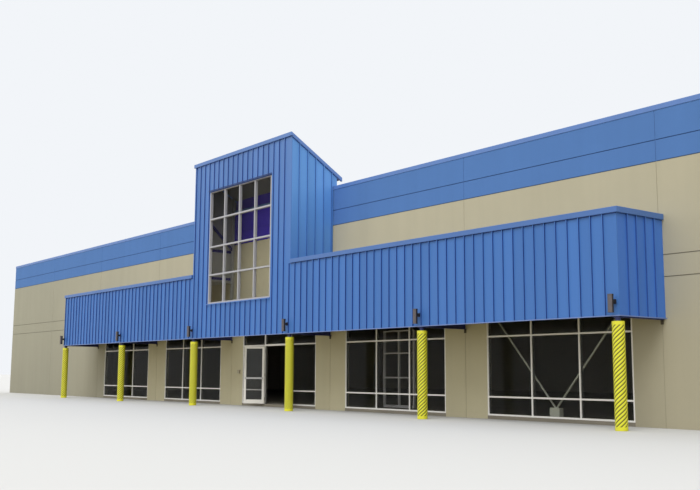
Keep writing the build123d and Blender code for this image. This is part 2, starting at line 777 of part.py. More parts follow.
with BuildPart() as tower_window_flashings:
    with BuildSketch(fascia_front):
        with Locations((0, tower_window_bottom - flashing_height / 2),
                       (0, tower_window_top + flashing_height / 2)):
            Rectangle(tower_window_width + 2 * flashing_side, flashing_height)
    extrude(amount=flashing_lead)
save(tower_window_flashings.part, "tower_window_flashings")

# Lights: a cylinder on an arm and a plate, one over each column
with BuildPart() as canopy_lights:
    with BuildSketch(Plane.XY.offset(lamp_bottom)):
        with Locations(*[(x, fascia_y - lamp_reach) for x in column_x]):
            Circle(lamp_radius)
    extrude(amount=lamp_height)
    with BuildSketch(fascia_front):
        with Locations(*[(x, lamp_arm_height) for x in column_x]):
            Circle(lamp_arm_radius)
    extrude(amount=lamp_reach)
    with BuildSketch(fascia_front):
        with Locations(*[(x, lamp_arm_height) for x in column_x]):
            Rectangle(lamp_plate_width, lamp_plate_width)
    extrude(amount=lamp_plate_thickness)
save(canopy_lights.part, "canopy_lights")

# A small box on the pier left of the doors
with BuildPart() as entrance_box:
    with BuildSketch(wall_front):
        with Locations((-(opening_width / 2 + box_side), box_bottom + box_height / 2)):
            Rectangle(box_width, box_height)
    extrude(amount=box_depth)
save(entrance_box.part, "entrance_box")

# Pipe braces in a V behind the glass of one bay
brace_y = wall_back_y + brace_setback
brace_centre = brace_bays * bay - brace_shift
brace_foot_z = floor_top + brace_shoe_height - brace_radius
with BuildPart() as window_braces:
    for side in (-1, 1):
        foot = Vector(brace_centre, brace_y, brace_foot_z)
        head = Vector(brace_centre + side * brace_spread, brace_y, brace_top_height)
        with BuildSketch(Plane(origin=foot, z_dir=head - foot)):
            Circle(brace_radius)
        extrude(amount=(head - foot).length)
    with BuildSketch(Plane.XY.offset(floor_top)):
        with Locations((brace_centre, brace_y)):
            Rectangle(2 * brace_shoe_width, brace_shoe_width)
    extrude(amount=brace_shoe_height)
    with BuildSketch(wall_front.offset(-wall_thickness)):
        with Locations(*[(brace_centre + side * brace_spread, brace_top_height) for side in (-1, 1)]):
            Rectangle(brace_shoe_width, brace_shoe_width)
    extrude(amount=-(brace_setback + brace_radius))
save(window_braces.part, "window_braces")

# The frame of a pair of inner doors and their top lights, standing on the floor behind one bay
screen_x = screen_bays * bay - screen_shift
screen_lite = (screen_width - 3 * frame_face) / 2
screen_top = floor_top + screen_height
screen_bars = [floor_top + screen_bottom_rail, *screen_rail_heights, screen_top]
with BuildPart() as inner_screen:
    with BuildSketch(wall_front.offset(-screen_setback)):
        with Locations((screen_x, middle(floor_top, screen_top))):
            Rectangle(screen_width, screen_height)
        for low, high in zip(screen_bars, screen_bars[1:]):
            pane_top = high - frame_face
            with Locations(*[(screen_x + side * (screen_lite + frame_face) / 2, middle(low, pane_top))
                             for side in (-1, 1)]):
                Rectangle(screen_lite, pane_top - low, mode=Mode.SUBTRACT)
    extrude(amount=-screen_depth)
save(inner_screen.part, "inner_screen")
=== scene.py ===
"""The looks of a flooring store with a clad canopy and tower, built round its solid model."""

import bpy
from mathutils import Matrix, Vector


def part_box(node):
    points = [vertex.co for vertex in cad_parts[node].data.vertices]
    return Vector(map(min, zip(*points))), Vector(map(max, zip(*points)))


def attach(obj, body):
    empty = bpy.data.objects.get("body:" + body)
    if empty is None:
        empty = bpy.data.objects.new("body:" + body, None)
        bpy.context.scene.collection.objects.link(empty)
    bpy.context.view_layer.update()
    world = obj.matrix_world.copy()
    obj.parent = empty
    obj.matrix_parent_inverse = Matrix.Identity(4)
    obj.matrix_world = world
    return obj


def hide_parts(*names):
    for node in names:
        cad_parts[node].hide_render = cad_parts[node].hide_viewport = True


bl_info = {
    "name": "Flooring Store",
    "version": (1, 0, 0),
    "blender": (4, 5, 0),
    "location": "View3D > Sidebar > Store",
    "description": "Dresses the solid model of a half-size flooring store",
    "category": "Add Mesh",
}

from contextlib import contextmanager
from functools import partial
from math import atan2, hypot, pi, radians

import bmesh
import bpy
from bpy.props import FloatProperty, FloatVectorProperty, IntProperty, PointerProperty
from mathutils import Euler, Matrix, Vector

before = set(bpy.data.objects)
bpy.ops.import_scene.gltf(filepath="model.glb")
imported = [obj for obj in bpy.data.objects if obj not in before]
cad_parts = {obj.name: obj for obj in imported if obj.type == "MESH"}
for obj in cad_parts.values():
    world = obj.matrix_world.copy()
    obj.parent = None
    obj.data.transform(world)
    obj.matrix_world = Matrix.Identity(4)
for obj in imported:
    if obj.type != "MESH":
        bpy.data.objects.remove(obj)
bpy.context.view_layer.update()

COLUMNS = 6
GROOVES = (1.975, 2.268, 3.544, 3.840)  # heights of the grooves in the wall panels
NEAR = 0.001  # a point this near to a plane is on it
FACING = 0.9  # a face looks along an axis when its normal does by this share
MERGE = 0.00002  # points this near to each other are one

# The camera, as the picture was taken: its place in metres, its turns in radians
PICTURE_WIDTH = 700
FOCAL_PIXELS = 947.2
SENSOR_WIDTH = 36
CAMERA_PLACE = (16.4858, -19.5105, 0.6789)
CAMERA_RISE, CAMERA_HEADING, CAMERA_ROLL = 0.13553, 0.91007, 0.00493
# Each light: its name, where it shines from, its spread in degrees, its share of the key's strength
LIGHTS = (("key", (0.42, -0.75, 1.15), 35, 1.0), ("fill", (-0.6, 0.6, 0.6), 60, 0.5))


def linear(code):
    """An sRGB hex colour as linear red, green and blue."""
    parts = [int(code[i:i + 2], 16) / 255 for i in (1, 3, 5)]
    return tuple(p / 12.92 if p <= 0.04045 else ((p + 0.055) / 1.055) ** 2.4 for p in parts)


def colour(name, description, code):
    """A colour property whose default is an sRGB hex value."""
    return FloatVectorProperty(name=name, description=description, subtype="COLOR",
                               default=linear(code), min=0.0, max=1.0)


def length(name, description, default):
    """A length property in metres."""
    return FloatProperty(name=name, description=description, default=default, unit="LENGTH")


# Sizes and colours that a user would change

class CladdingSettings(bpy.types.PropertyGroup):
    pitch: length("Rib pitch", "Distance from one rib to the next", 0.193)
    first: length("First rib", "From the middle of the front to the first rib", 0.1135)
    rib: length("Rib width", "Width of a rib's face", 0.012)
    depth: length("Rib depth", "How far the pans lie behind the ribs", 0.020)
    corner: length("Corner", "No rib is nearer than this to a corner of the canopy", 0.04)
    back_edge: length("Back edge", "No rib on a side is nearer than this to its back edge", 0.02)
    # This strip under a cap carries a painted shadow line in the flank paint
    shadow: length("Shadow strip", "Height of the dirty strip under a cap", 0.012)
    end_rib: length("First rib on an end", "From a corner of the canopy to the first rib", 0.226)
    side_rib: length("First rib on a side", "From a corner of the tower to the first rib", 0.196)
    fold: length("Fold", "Radius of the folds of caps and copings", 0.004)
    chalk_low: length("Chalk begins", "Height at which the front begins to chalk", 2.6)
    chalk_high: length("Chalk ends", "Height at which it is all chalked", 5.2)
    # Painted light: the tower's sides turn paler higher up, where more light falls on them
    side_painted_light_low: length("Side chalk begins", "The same on the tower's sides", 2.4)
    side_painted_light_high: length("Side chalk ends", "The same on the tower's sides", 4.2)
    # Painted shade on the backs of the sheets and the tower roof's underside, darkening them high
    # in the tower
    painted_shade_low: length("Dim begins", "Height at which the backs begin to dim", 3.2)
    painted_shade_high: length("Dim ends", "Height at which they are all dim", 4.7)
    # The flashings' dark paint at a window's head is a painted shadow
    head: length("Head", "Height of the flashings' dark paint", 0.05)
    head_shade_edge: length("Head edge", "Height over which it turns dark", 0.01)
    paint: colour("Paint", "Factory paint of the sheets", "#4979C2")
    chalk: colour("Chalked paint", "The same high up, in sun and rain", "#5E84C5")
    # Painted light on the tower's sides, high up
    side_painted_light: colour("Chalked side paint", "The same on the tower's sides", "#659DE2")
    # The flank colours are painted shade with dirt beside each rib, a little lighter on the ends
    # and sides
    flank: colour("Rib flank", "Paint in the shade and dirt beside a rib", "#22428E")
    side_flank_shade: colour("Side flank", "The same on ends and sides, washed by rain", "#2E559E")
    # The ends' paint is a bluer copy of the sheets' paint: painted light, for the cool light on the
    # shaded ends
    end_lit_paint: colour("End paint", "Paint of the canopy's ends, out of the sun", "#487AD0")
    back: colour("Back", "Primer on the back of the sheets", "#B2B3B3")
    trim_paint: colour("Trim paint", "Paint of the canopy's caps", "#4D75B9")
    high_trim: colour("High trim paint", "Paint of the tower's caps and the copings", "#6085C8")
    drip: colour("Drip edge", "Bare edge of the drip strip", "#7A8FC8")


class WallSettings(bpy.types.PropertyGroup):
    band: length("Band height", "Height at which the blue band begins", 3.544)
    # Painted shade: the wall darkens towards its left end between these places
    left_shade_from: length("Dull from", "Where the wall's paint begins to dull, leftwards", -4.0)
    left_shade_to: length("Dull to", "Where it is all dull", -13.0)
    splash: length("Splash height", "Height up to which rain splashes dirt on the wall", 2.6)
    groove_width: length("Groove width", "Width of the dirt in a groove", 0.015)
    # The painted light on the wall reaches this far inside the canopy's ends, and inside the tower
    # as far as the older coat
    shelter: length("Shelter", "From the canopy's end to where its shelter begins", 0.6)
    cover: length("Cover", "How far inside the tower's sides the older coat ends", 0.03)
    wall: colour("Wall paint", "Paint of the wall", "#B9B39C")
    # The wall's colour at its left end, darkened as painted shade
    dull: colour("Dulled wall paint", "The wall's paint towards its left end", "#A6A494")
    # Painted light: the wall's paint made paler behind the canopy and inside the tower
    lit_wall_paint: colour("Sheltered wall paint", "The wall's paint behind the canopy", "#D2CBAC")
    blue: colour("Band paint", "Paint of the band", "#547DBB")
    old_blue: colour("Old band paint", "The older coat that the tower covers", "#4A35C8")
    groove: colour("Groove", "Dirt in the grooves", "#5C594E")
    bare: colour("Bare concrete", "Concrete inside the hall", "#C9C3B6")


class ColumnSettings(bpy.types.PropertyGroup):
    corrugation: length("Corrugation depth", "From crest to trough", 0.005)
    # The real corrugations are 42 mm apart up the sleeve, 2 pixels across at the middle columns,
    # which is too fine to show. They are drawn 54 mm apart, as coarse as they need to be.
    starts: IntProperty(name="Starts", description="Corrugations that run side by side", default=8)
    lead: length("Lead", "Rise of a corrugation in one turn", 0.43)
    ring: length("Ring", "Height of the plain ring at each end", 0.046)
    rim: length("Rim", "Width of the rim round the end of a ring", 0.006)
    enamel: colour("Enamel", "Enamel on the sleeves", "#E6E437")
    # The trough colour is dirt and painted shade in the corrugations
    trough: colour("Trough", "Enamel in the troughs, with dirt", "#565315")
    steel: colour("Steel paint", "Paint of the posts and beams", "#2C3374")
    tower_steel: colour("Tower steel paint", "Paint of the framing inside the tower", "#342C80")
    bracket: colour("Bracket", "Rusty paint of the wall brackets", "#5B5344")


class GlazingSettings(bpy.types.PropertyGroup):
    # The dark head of the tower's frame is a painted shadow
    head: length("Head", "Height of the dark part of the tower's frame", 0.027)
    head_shade_edge: length("Head edge", "Height over which it turns dark", 0.002)
    frames: colour("Frames", "Storefront frames", "#F8F7F4")
    tower_frames: colour("Tower frame", "Frame of the tower window", "#AFB0B8")
    doors: colour("Doors", "Door leaves", "#F6F4EE")
    glass: colour("Glass", "Tint of the storefront glass", "#3A3B37")
    hardware: colour("Hardware", "Pulls, bars and hinges", "#B9B7B2")


class FittingSettings(bpy.types.PropertyGroup):
    lamp_end: length("Lamp end", "Height of the band at each end of a lamp", 0.014)
    lamp_wall: length("Lamp wall", "Thickness of a lamp's tube at its open ends", 0.005)
    arm_height: length("Arm height", "Height of the lamp arms", 1.598)
    arm_radius: length("Arm radius", "Radius of a lamp arm", 0.011)
    knuckle: length("Knuckle", "Radius of the joint on a lamp arm", 0.019)
    knuckle_width: length("Knuckle width", "Width of that joint", 0.044)
    plate: length("Plate", "Width of the plate that holds a lamp arm", 0.06)
    plate_depth: length("Plate depth", "Thickness of that plate", 0.008)
    bolt: length("Bolt", "Radius of a bolt head", 0.006)
    bolt_head: length("Bolt head", "Height of a bolt head", 0.006)
    bolt_spread: length("Bolt spread", "From the middle of a bracket to a bolt", 0.014)
    bolt_height: length("Bolt height", "From the foot of a bracket to its bolts", 0.016)
    bracket_plate: length("Bracket plate", "Thickness of a bracket's plate", 0.006)
    lamp: colour("Lamp", "Coating of the lamps", "#645D60")
    arm: colour("Lamp arm", "Coating of the lamp arms", "#17151F")
    box: colour("Box", "Enamel of the box by the doors", "#A89F88")
    brace: colour("Brace", "Primer of the pipe braces", "#C9CDBD")


class RoofSettings(bpy.types.PropertyGroup):
    membrane: colour("Membrane", "Roof membrane", "#A9A8A2")
    sheet: length("Sheet", "Width of a membrane sheet", 1.0)
    rib_height: length("Rib height", "Height of a rib on the tower roof", 0.011)
    rib_edge: length("Rib edge", "No roof rib is nearer than this to the side", 0.03)
    metal: colour("Roof metal", "Sheets of the tower roof", "#5A80BC")
    slab: colour("Slab", "Floor slab", "#8F897C")


class StageSettings(bpy.types.PropertyGroup):
    floor: colour("Floor", "Floor of the set", "#C9C9C7")
    bounce: colour("Bounce", "What the floor throws back on the object", "#A39A80")
    background: colour("Background", "Background of the set", "#F2F5F9")
    sky: FloatProperty(name="Sky", description="Strength of the soft light all round", default=1.0)
    key: FloatProperty(name="Key", description="Strength of the soft key light", default=1.5)


GROUPS = {
    "store_cladding": CladdingSettings,
    "store_walls": WallSettings,
    "store_columns": ColumnSettings,
    "store_glazing": GlazingSettings,
    "store_fittings": FittingSettings,
    "store_roofs": RoofSettings,
    "store_stage": StageSettings,
}


# Making materials

BLEND = {"data_type": "RGBA"}
TINT = {"data_type": "RGBA", "blend_type": "MULTIPLY"}


def add(tree, kind, inputs=None, **settings):
    """Adds a shader node, sets its properties, and fills or links its sockets. A whole node that
    is given for a socket is linked by its first output in use."""
    node = tree.nodes.new("ShaderNode" + kind)
    for key, value in settings.items():
        setattr(node, key, value)
    for key, value in (inputs or {}).items():
        socket = node.inputs[key]
        if isinstance(value, bpy.types.Node):
            value = next(output for output in value.outputs if output.enabled)
        if isinstance(value, bpy.types.NodeSocket):
            tree.links.new(value, socket)
        else:
            socket.default_value = (*value[:3], 1.0) if socket.type == "RGBA" else value
    return node


def new_material(name):
    """An empty material, what adds nodes to it, and the place on the object that it reads."""
    made = bpy.data.materials.new(name)
    made.use_nodes = True
    made.node_tree.nodes.clear()
    node = partial(add, made.node_tree)
    return made, node, node("TexCoord").outputs["Object"]


def shade(node, **sockets):
    """Ends a material with one shader. Values that don't vary go on its own sockets."""
    inputs = {key.replace("_", " "): value for key, value in sockets.items()}
    node("OutputMaterial", {"Surface": node("BsdfPrincipled", inputs)})


def scaled(tone, factor):
    """A colour made lighter or darker by a factor."""
    return tuple(min(1.0, part * factor) for part in tone[:3])


def repeats(size):
    """How often a pattern of this size, in millimetres, fits in a metre."""
    return 1000 / size


def streaked(wide, tall):
    """The scale of a pattern that is this wide and this tall, in millimetres."""
    return (repeats(wide), repeats(wide), repeats(tall))


def fine_relief(node, place, scale, detail, strength, height, **under):
    """An uneven surface that catches the light: soft bumps of a height in metres."""
    noise = node("TexNoise", {"Vector": place, "Scale": scale, "Detail": detail})
    return node("Bump", {"Strength": strength, "Distance": height, "Height": noise, **under})


def coating(name, tone, patch_share, patch, grain, relief, roughness, metallic=0.0):
    """A coat whose colour drifts in soft patches, over a grain that catches light. The sizes of
    patches and grain and the grain's relief are in millimetres."""
    made, node, place = new_material(name)
    patches = node("TexNoise", {"Vector": place, "Scale": repeats(patch), "Detail": 5.0,
                                "Roughness": 0.6})
    share = node("MapRange", {"Value": patches, "From Min": 0.35, "From Max": 0.7})
    tones = node("Mix", {0: share, 6: tone, 7: scaled(tone, patch_share)}, **BLEND)
    bump = fine_relief(node, place, repeats(grain), 3.0, 1.0, relief / 1000)
    gloss = node("MapRange", {"Value": patches, "To Min": roughness - 0.06,
                              "To Max": roughness + 0.06})
    shade(node, Base_Color=tones, Roughness=gloss, Metallic=metallic, Normal=bump)
    return made


def painted_sheet(name, tone, chalk_and_light, low, high, pitch, first, axis):
    """Coil-coated steel sheet: each pan a shade of its own, paler higher up, a little wavy,
    with faint streaks where rain runs down. Paler is chalk on the front and painted light on the
    tower's sides."""
    made, node, place = new_material(name)
    parts = node("SeparateXYZ", {0: place}).outputs
    shifted = node("Math", {0: parts[axis], 1: first}, operation="SUBTRACT")
    along = node("Math", {0: shifted, 1: pitch}, operation="DIVIDE")
    pan = node("Math", {0: along}, operation="FLOOR")
    shades = node("TexWhiteNoise", {"W": pan}, noise_dimensions="1D")
    tall = node("Mapping", {"Vector": place, "Scale": streaked(111, 2000)})
    streaks = node("TexNoise", {"Vector": tall, "Scale": 1.0, "Detail": 5.0})
    drift = node("Math", {0: streaks, 1: 0.3, 2: shades}, operation="MULTIPLY_ADD")
    level = node("MapRange", {"Value": drift, "From Max": 1.3, "To Min": 0.90, "To Max": 1.08})
    # Paler higher up: chalk on the front, painted light on the tower's sides
    height = node("MapRange", {"Value": parts[2], "From Min": low, "From Max": high})
    weathered_and_lit = node("Mix", {0: height, 6: tone, 7: chalk_and_light}, **BLEND)
    sheet = node("Mix", {0: 1.0, 6: weathered_and_lit, 7: level}, **TINT)
    wide = node("Mapping", {"Vector": place, "Scale": streaked(167, 833)})
    bump = fine_relief(node, wide, 1.0, 1.0, 0.6, 0.008)
    shade(node, Base_Color=sheet, Roughness=0.45, Specular_IOR_Level=0.25, Normal=bump)
    return made


def painted_concrete(name, walls, axis, tower_half=0.0, canopy_half=0.0):
    """Elastomeric paint on tilt-up concrete: blue above the band line, an older coat where the
    tower covers it, painted light behind the canopy and the tower, painted shade towards the
    left end, soft mottling, dirt in the grooves and at the foot, and bare concrete on the inner
    side."""
    made, node, place = new_material(name)
    parts = node("SeparateXYZ", {0: place}).outputs
    facing = node("SeparateXYZ", {0: place.node.outputs["Normal"]}).outputs
    cloud = node("TexNoise", {"Vector": place, "Scale": repeats(1111), "Detail": 6.0,
                              "Roughness": 0.62})
    tall = node("Mapping", {"Vector": place, "Scale": streaked(250, 4000)})
    streaks = node("TexNoise", {"Vector": tall, "Scale": 1.0, "Detail": 6.0})
    mottle = node("Math", {0: cloud, 1: streaks}, operation="ADD")
    level = node("MapRange", {"Value": mottle, "From Min": 0.7, "From Max": 1.3,
                              "To Min": 0.96, "To Max": 1.03})
    # The blue band, and the older coat of it behind the tower
    above = node("Math", {0: parts[2], 1: walls.band}, operation="GREATER_THAN")
    side = node("Math", {0: parts[0]}, operation="ABSOLUTE")
    covered = node("Math", {0: side, 1: tower_half}, operation="LESS_THAN")
    front = node("Math", {0: parts[1], 1: 0.0}, operation="LESS_THAN")
    old = node("Math", {0: covered, 1: front}, operation="MULTIPLY")
    band = node("Mix", {0: old, 6: walls.blue, 7: walls.old_blue}, **BLEND)
    # The wall below it: painted shade that darkens it to the left, and painted light that pales it
    # behind the canopy and the tower
    leftward = node("MapRange", {"Value": parts[0], "From Min": walls.left_shade_from,
                                 "From Max": walls.left_shade_to})
    plain = node("Mix", {0: leftward, 6: walls.wall, 7: walls.dull}, **BLEND)
    within = node("Math", {0: side, 1: canopy_half}, operation="LESS_THAN")
    beneath = node("Math", {0: parts[2], 1: fascia_high.z}, operation="LESS_THAN")
    hidden = node("Math", {0: within, 1: beneath}, operation="MULTIPLY")
    lit_zone = node("Math", {0: hidden, 1: covered}, operation="MAXIMUM")
    in_front = node("Math", {0: lit_zone, 1: front}, operation="MULTIPLY")
    lower = node("Mix", {0: in_front, 6: plain, 7: walls.lit_wall_paint}, **BLEND)
    paint = node("Mix", {0: above, 6: lower, 7: band}, **BLEND)
    mottled = node("Mix", {0: 1.0, 6: paint, 7: level}, **TINT)
    # Dirt that rain splashes on the foot, and dirt in the grooves
    foot = node("MapRange", {"Value": parts[2], "From Max": walls.splash, "To Min": 0.36,
                             "To Max": 0.0})
    splash = node("Math", {0: foot, 1: cloud}, operation="MULTIPLY")
    dirty = node("Mix", {0: splash, 6: mottled, 7: walls.groove}, **BLEND)
    groove = None
    for height in GROOVES:
        line = node("Math", {0: parts[2], 1: height, 2: walls.groove_width / 2},
                    operation="COMPARE")
        groove = line if groove is None else node("Math", {0: groove, 1: line}, operation="MAXIMUM")
    share = node("Math", {0: groove, 1: 0.5}, operation="MULTIPLY")
    dark = node("Mix", {0: 1.0, 6: dirty, 7: (0.35, 0.35, 0.4)}, **TINT)
    lined = node("Mix", {0: share, 6: dirty, 7: dark}, **BLEND)
    # Bare concrete where a face looks back at the middle of the building
    inward = node("Math", {0: parts[axis], 1: facing[axis]}, operation="MULTIPLY")
    inner = node("Math", {0: inward, 1: -1.0}, operation="LESS_THAN")
    final = node("Mix", {0: inner, 6: lined, 7: walls.bare}, **BLEND)
    grain = fine_relief(node, place, repeats(16.7), 4.0, 0.5, 0.002)
    bump = fine_relief(node, place, repeats(333), 3.0, 0.5, 0.006, Normal=grain)
    shade(node, Base_Color=final, Roughness=0.88, Specular_IOR_Level=0.25, Normal=bump)
    return made


def painted_sealant(name, walls):
    """Joint sealant painted over with the wall: its coat a little darker for the dirt it holds."""
    made, node, place = new_material(name)
    parts = node("SeparateXYZ", {0: place}).outputs
    above = node("Math", {0: parts[2], 1: walls.band}, operation="GREATER_THAN")
    paint = node("Mix", {0: above, 6: scaled(walls.wall, 0.78), 7: scaled(walls.blue, 0.8)},
                 **BLEND)
    bump = fine_relief(node, place, repeats(11.1), 2.0, 0.6, 0.001)
    shade(node, Base_Color=paint, Roughness=0.75, Normal=bump)
    return made


def changing_coat(name, tone, farther, axis, low, high, roughness):
    """Coated metal that turns from one tone to another between two places along an axis."""
    made, node, place = new_material(name)
    parts = node("SeparateXYZ", {0: place}).outputs
    share = node("MapRange", {"Value": parts[axis], "From Min": low, "From Max": high})
    paint = node("Mix", {0: share, 6: tone, 7: farther}, **BLEND)
    bump = fine_relief(node, place, repeats(12.5), 2.0, 0.5, 0.0005)
    shade(node, Base_Color=paint, Roughness=roughness, Normal=bump)
    return made


def roof_membrane(name, tone, sheet):
    """Single-ply membrane: broad welded sheets with a raised, dirt-catching lap at each edge,
    and faint marks where water has stood."""
    made, node, place = new_material(name)
    parts = node("SeparateXYZ", {0: place}).outputs
    along = node("Math", {0: parts[0], 1: sheet}, operation="DIVIDE")
    within = node("Math", {0: along}, operation="FRACT")
    lap = node("Math", {0: within, 1: 0.03}, operation="LESS_THAN")
    ponds = node("TexNoise", {"Vector": place, "Scale": repeats(2000), "Detail": 5.0,
                              "Roughness": 0.6})
    dull = node("MapRange", {"Value": ponds, "From Min": 0.4, "From Max": 0.65})
    tones = node("Mix", {0: dull, 6: tone, 7: scaled(tone, 0.82)}, **BLEND)
    seamed = node("Mix", {0: lap, 6: tones, 7: scaled(tone, 0.6)}, **BLEND)
    bump = node("Bump", {"Strength": 0.8, "Distance": 0.004, "Height": lap})
    shade(node, Base_Color=seamed, Roughness=0.7, Normal=bump)
    return made


def corrugated_enamel(name, columns):
    """Enamelled corrugated steel: glossy yellow crests, and troughs painted dark with dirt and
    painted shade.
    """
    made, node, place = new_material(name)
    depth = node("Attribute", attribute_name="trough").outputs["Fac"]
    dirt = node("TexNoise", {"Vector": place, "Scale": repeats(111), "Detail": 5.0})
    share = node("MapRange", {"Value": depth, "From Min": 0.25, "From Max": 0.80})
    tones = node("Mix", {0: share, 6: columns.enamel, 7: columns.trough}, **BLEND)
    level = node("MapRange", {"Value": dirt, "To Min": 0.90, "To Max": 1.08})
    worn = node("Mix", {0: 1.0, 6: tones, 7: level}, **TINT)
    shade(node, Base_Color=worn, Roughness=0.38)
    return made


def sheet_glass(name, tone, alpha, reflection):
    """Float glass: it shows its own reflections over what lies behind it, dimmed by its tint."""
    made, node, place = new_material(name)
    bump = fine_relief(node, place, repeats(625), 1.0, 0.25, 0.002)
    shade(node, Base_Color=tone, Roughness=0.03, Alpha=alpha, IOR=1.52,
          Specular_IOR_Level=reflection, Normal=bump)
    return made


def plainly_seen(node):
    """1 for a ray from the camera, off a shiny face or through glass, 0 for one that lights."""
    rays = node("LightPath").outputs
    seen = node("Math", {0: rays["Is Camera Ray"], 1: rays["Is Glossy Ray"]}, operation="MAXIMUM")
    return node("Math", {0: seen, 1: rays["Is Transmission Ray"]}, operation="MAXIMUM")


# Shaping meshes

def only(obj):
    """Makes obj the one selected and active object."""
    bpy.ops.object.select_all(action="DESELECT")
    obj.select_set(True)
    bpy.context.view_layer.objects.active = obj


@contextmanager
def shaping(obj):
    """Edit mode on one object for the length of a with block, with nothing selected."""
    only(obj)
    bpy.ops.object.mode_set(mode="EDIT")
    bpy.ops.mesh.select_mode(type="FACE")
    bpy.ops.mesh.select_all(action="DESELECT")
    try:
        yield
    finally:
        bpy.ops.object.mode_set(mode="OBJECT")


def pick(obj, test, kind="faces"):
    """Selects, in edit mode, the faces or points that pass the test, and no others."""
    bpy.ops.mesh.select_mode(type={"faces": "FACE", "verts": "VERT"}[kind])
    bpy.ops.mesh.select_all(action="DESELECT")
    mesh = bmesh.from_edit_mesh(obj.data)
    found = [item for item in getattr(mesh, kind) if test(item)]
    if not found:
        raise RuntimeError(f"{obj.name}: nothing was found to shape")
    for item in found:
        item.select_set(True)
    mesh.select_flush_mode()
    bmesh.update_edit_mesh(obj.data)


def swell(distance):
    """Extrudes the picked faces outward, or inward where the distance is negative."""
    bpy.ops.mesh.extrude_region_shrink_fatten(TRANSFORM_OT_shrink_fatten={"value": distance})


def cut(point, normal):
    """Cuts the whole mesh being edited along a plane."""
    bpy.ops.mesh.select_all(action="SELECT")
    bpy.ops.mesh.bisect(plane_co=point, plane_no=normal)


def tag(obj, material, test):
    """Gives the faces of obj that pass the test a material slot by number."""
    for face in obj.data.polygons:
        if test(face.center, face.normal):
            face.material_index = material


def settle(obj):
    """Puts an object's place in its mesh, so that the object itself sits at the origin."""
    only(obj)
    bpy.ops.object.transform_apply(location=True, rotation=True, scale=True)
    return obj


def block(low, high):
    """A box between two corners."""
    low, high = Vector(low), Vector(high)
    bpy.ops.mesh.primitive_cube_add(size=1, location=(low + high) / 2)
    made = bpy.context.object
    made.scale = high - low
    return settle(made)


def cylinder(sides, radius, depth, place=(0, 0, 0), turn=(0, 0, 0)):
    """A cylinder with a number of sides, turned and placed."""
    bpy.ops.mesh.primitive_cylinder_add(vertices=sides, radius=radius, depth=depth, location=place,
                                        rotation=turn)
    return settle(bpy.context.object)


def rounded(obj, width, segments=2, angle=30):
    """Rounds an object's sharp edges."""
    only(obj)
    bevel = obj.modifiers.new("Edges", "BEVEL")
    bevel.width = width
    bevel.segments = segments
    bevel.limit_method = "ANGLE"
    bevel.angle_limit = radians(angle)
    bpy.ops.object.modifier_apply(modifier=bevel.name)
    return obj


def smoothed(obj, angle=40):
    """Shades an object smooth, but for edges sharper than the angle in degrees."""
    only(obj)
    bpy.ops.object.shade_smooth_by_angle(angle=radians(angle))
    return obj


def joined(name, parts):
    """One object from several, under a name."""
    bpy.ops.object.select_all(action="DESELECT")
    for part in parts:
        part.select_set(True)
    bpy.context.view_layer.objects.active = parts[0]
    if len(parts) > 1:
        bpy.ops.object.join()
    made = bpy.context.object
    made.name = name
    made.data.name = name
    return made


def placed_copy(source, move):
    """A copy of an object with a mesh of its own, shifted within that mesh."""
    made = source.copy()
    made.data = source.data.copy()
    made.data.transform(Matrix.Translation(move))
    bpy.context.scene.collection.objects.link(made)
    return made


def repeated(name, source, moves):
    """One object made of a copy of the source at each move. The source itself goes."""
    copies = [placed_copy(source, move) for move in moves]
    bpy.data.objects.remove(source)
    return joined(name, copies)


def node_copy(name, *nodes):
    """The merged meshes of CAD nodes as one new object, with its flat faces whole."""
    copies = []
    for node in nodes:
        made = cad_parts[node].copy()
        made.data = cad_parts[node].data.copy()
        made.parent = None
        for key in [key for key in made.keys() if key.startswith("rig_")]:
            del made[key]
        bpy.context.scene.collection.objects.link(made)
        made.data.materials.clear()
        copies.append(made)
    whole = joined(name, copies)
    if whole.data.has_custom_normals:
        bpy.ops.mesh.customdata_custom_splitnormals_clear()
    with shaping(whole):
        bpy.ops.mesh.select_all(action="SELECT")
        bpy.ops.mesh.remove_doubles(threshold=MERGE)
        bpy.ops.mesh.dissolve_limited(angle_limit=radians(1))
    for face in whole.data.polygons:
        face.use_smooth = False
    return whole


def finish(obj, materials, nodes=(), body="building"):
    """Gives a piece its materials and its body, and hides the CAD nodes that it stands for."""
    for material in materials:
        obj.data.materials.append(material)
    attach(obj, body)
    if nodes:
        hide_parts(*nodes)


def dress(material, *nodes):
    """Gives CAD nodes, which keep their shape, a material."""
    for node in nodes:
        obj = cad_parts[node]
        if not obj.material_slots:
            obj.data.materials.append(material)
        for place in obj.material_slots:
            place.material = material


# Where the solid model has its parts

fascia_low, fascia_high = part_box("canopy_fronts")
end_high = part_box("canopy_ends")[1]
side_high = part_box("tower_sides")[1]
tower_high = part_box("tower_front")[1]
window_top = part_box("tower_window_frame")[1].z
glass_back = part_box("window_glass")[1].y


def column_places():
    """Where the columns stand along the front, how far back, and the radius of a sleeve."""
    low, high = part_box("column_sleeves")
    radius = (high.y - low.y) / 2
    step = (high.x - low.x - 2 * radius) / (COLUMNS - 1)
    return [low.x + radius + i * step for i in range(COLUMNS)], low.y + radius, radius


def draw_in(sheet, half, distance):
    """Moves the points at both ends of a sheet that is being edited towards its middle."""
    for side in (-1, 1):
        pick(sheet, lambda v: abs(v.co.x - side * half) < NEAR, "verts")
        bpy.ops.transform.translate(value=(-side * distance, 0, 0))


def place_ribs(sheet, axis, ribs, width, depth, wanted):
    """Extrudes a rib from the outer face of a sheet at each place, on the faces wanted."""
    normal = tuple(float(i == axis) for i in range(3))
    for rib in ribs:
        for edge in (rib - width / 2, rib + width / 2):
            cut(tuple(edge * part for part in normal), normal)
    pick(sheet, lambda face: wanted(face)
         and min(abs(face.calc_center_median()[axis] - rib) for rib in ribs) < width / 2)
    swell(depth)


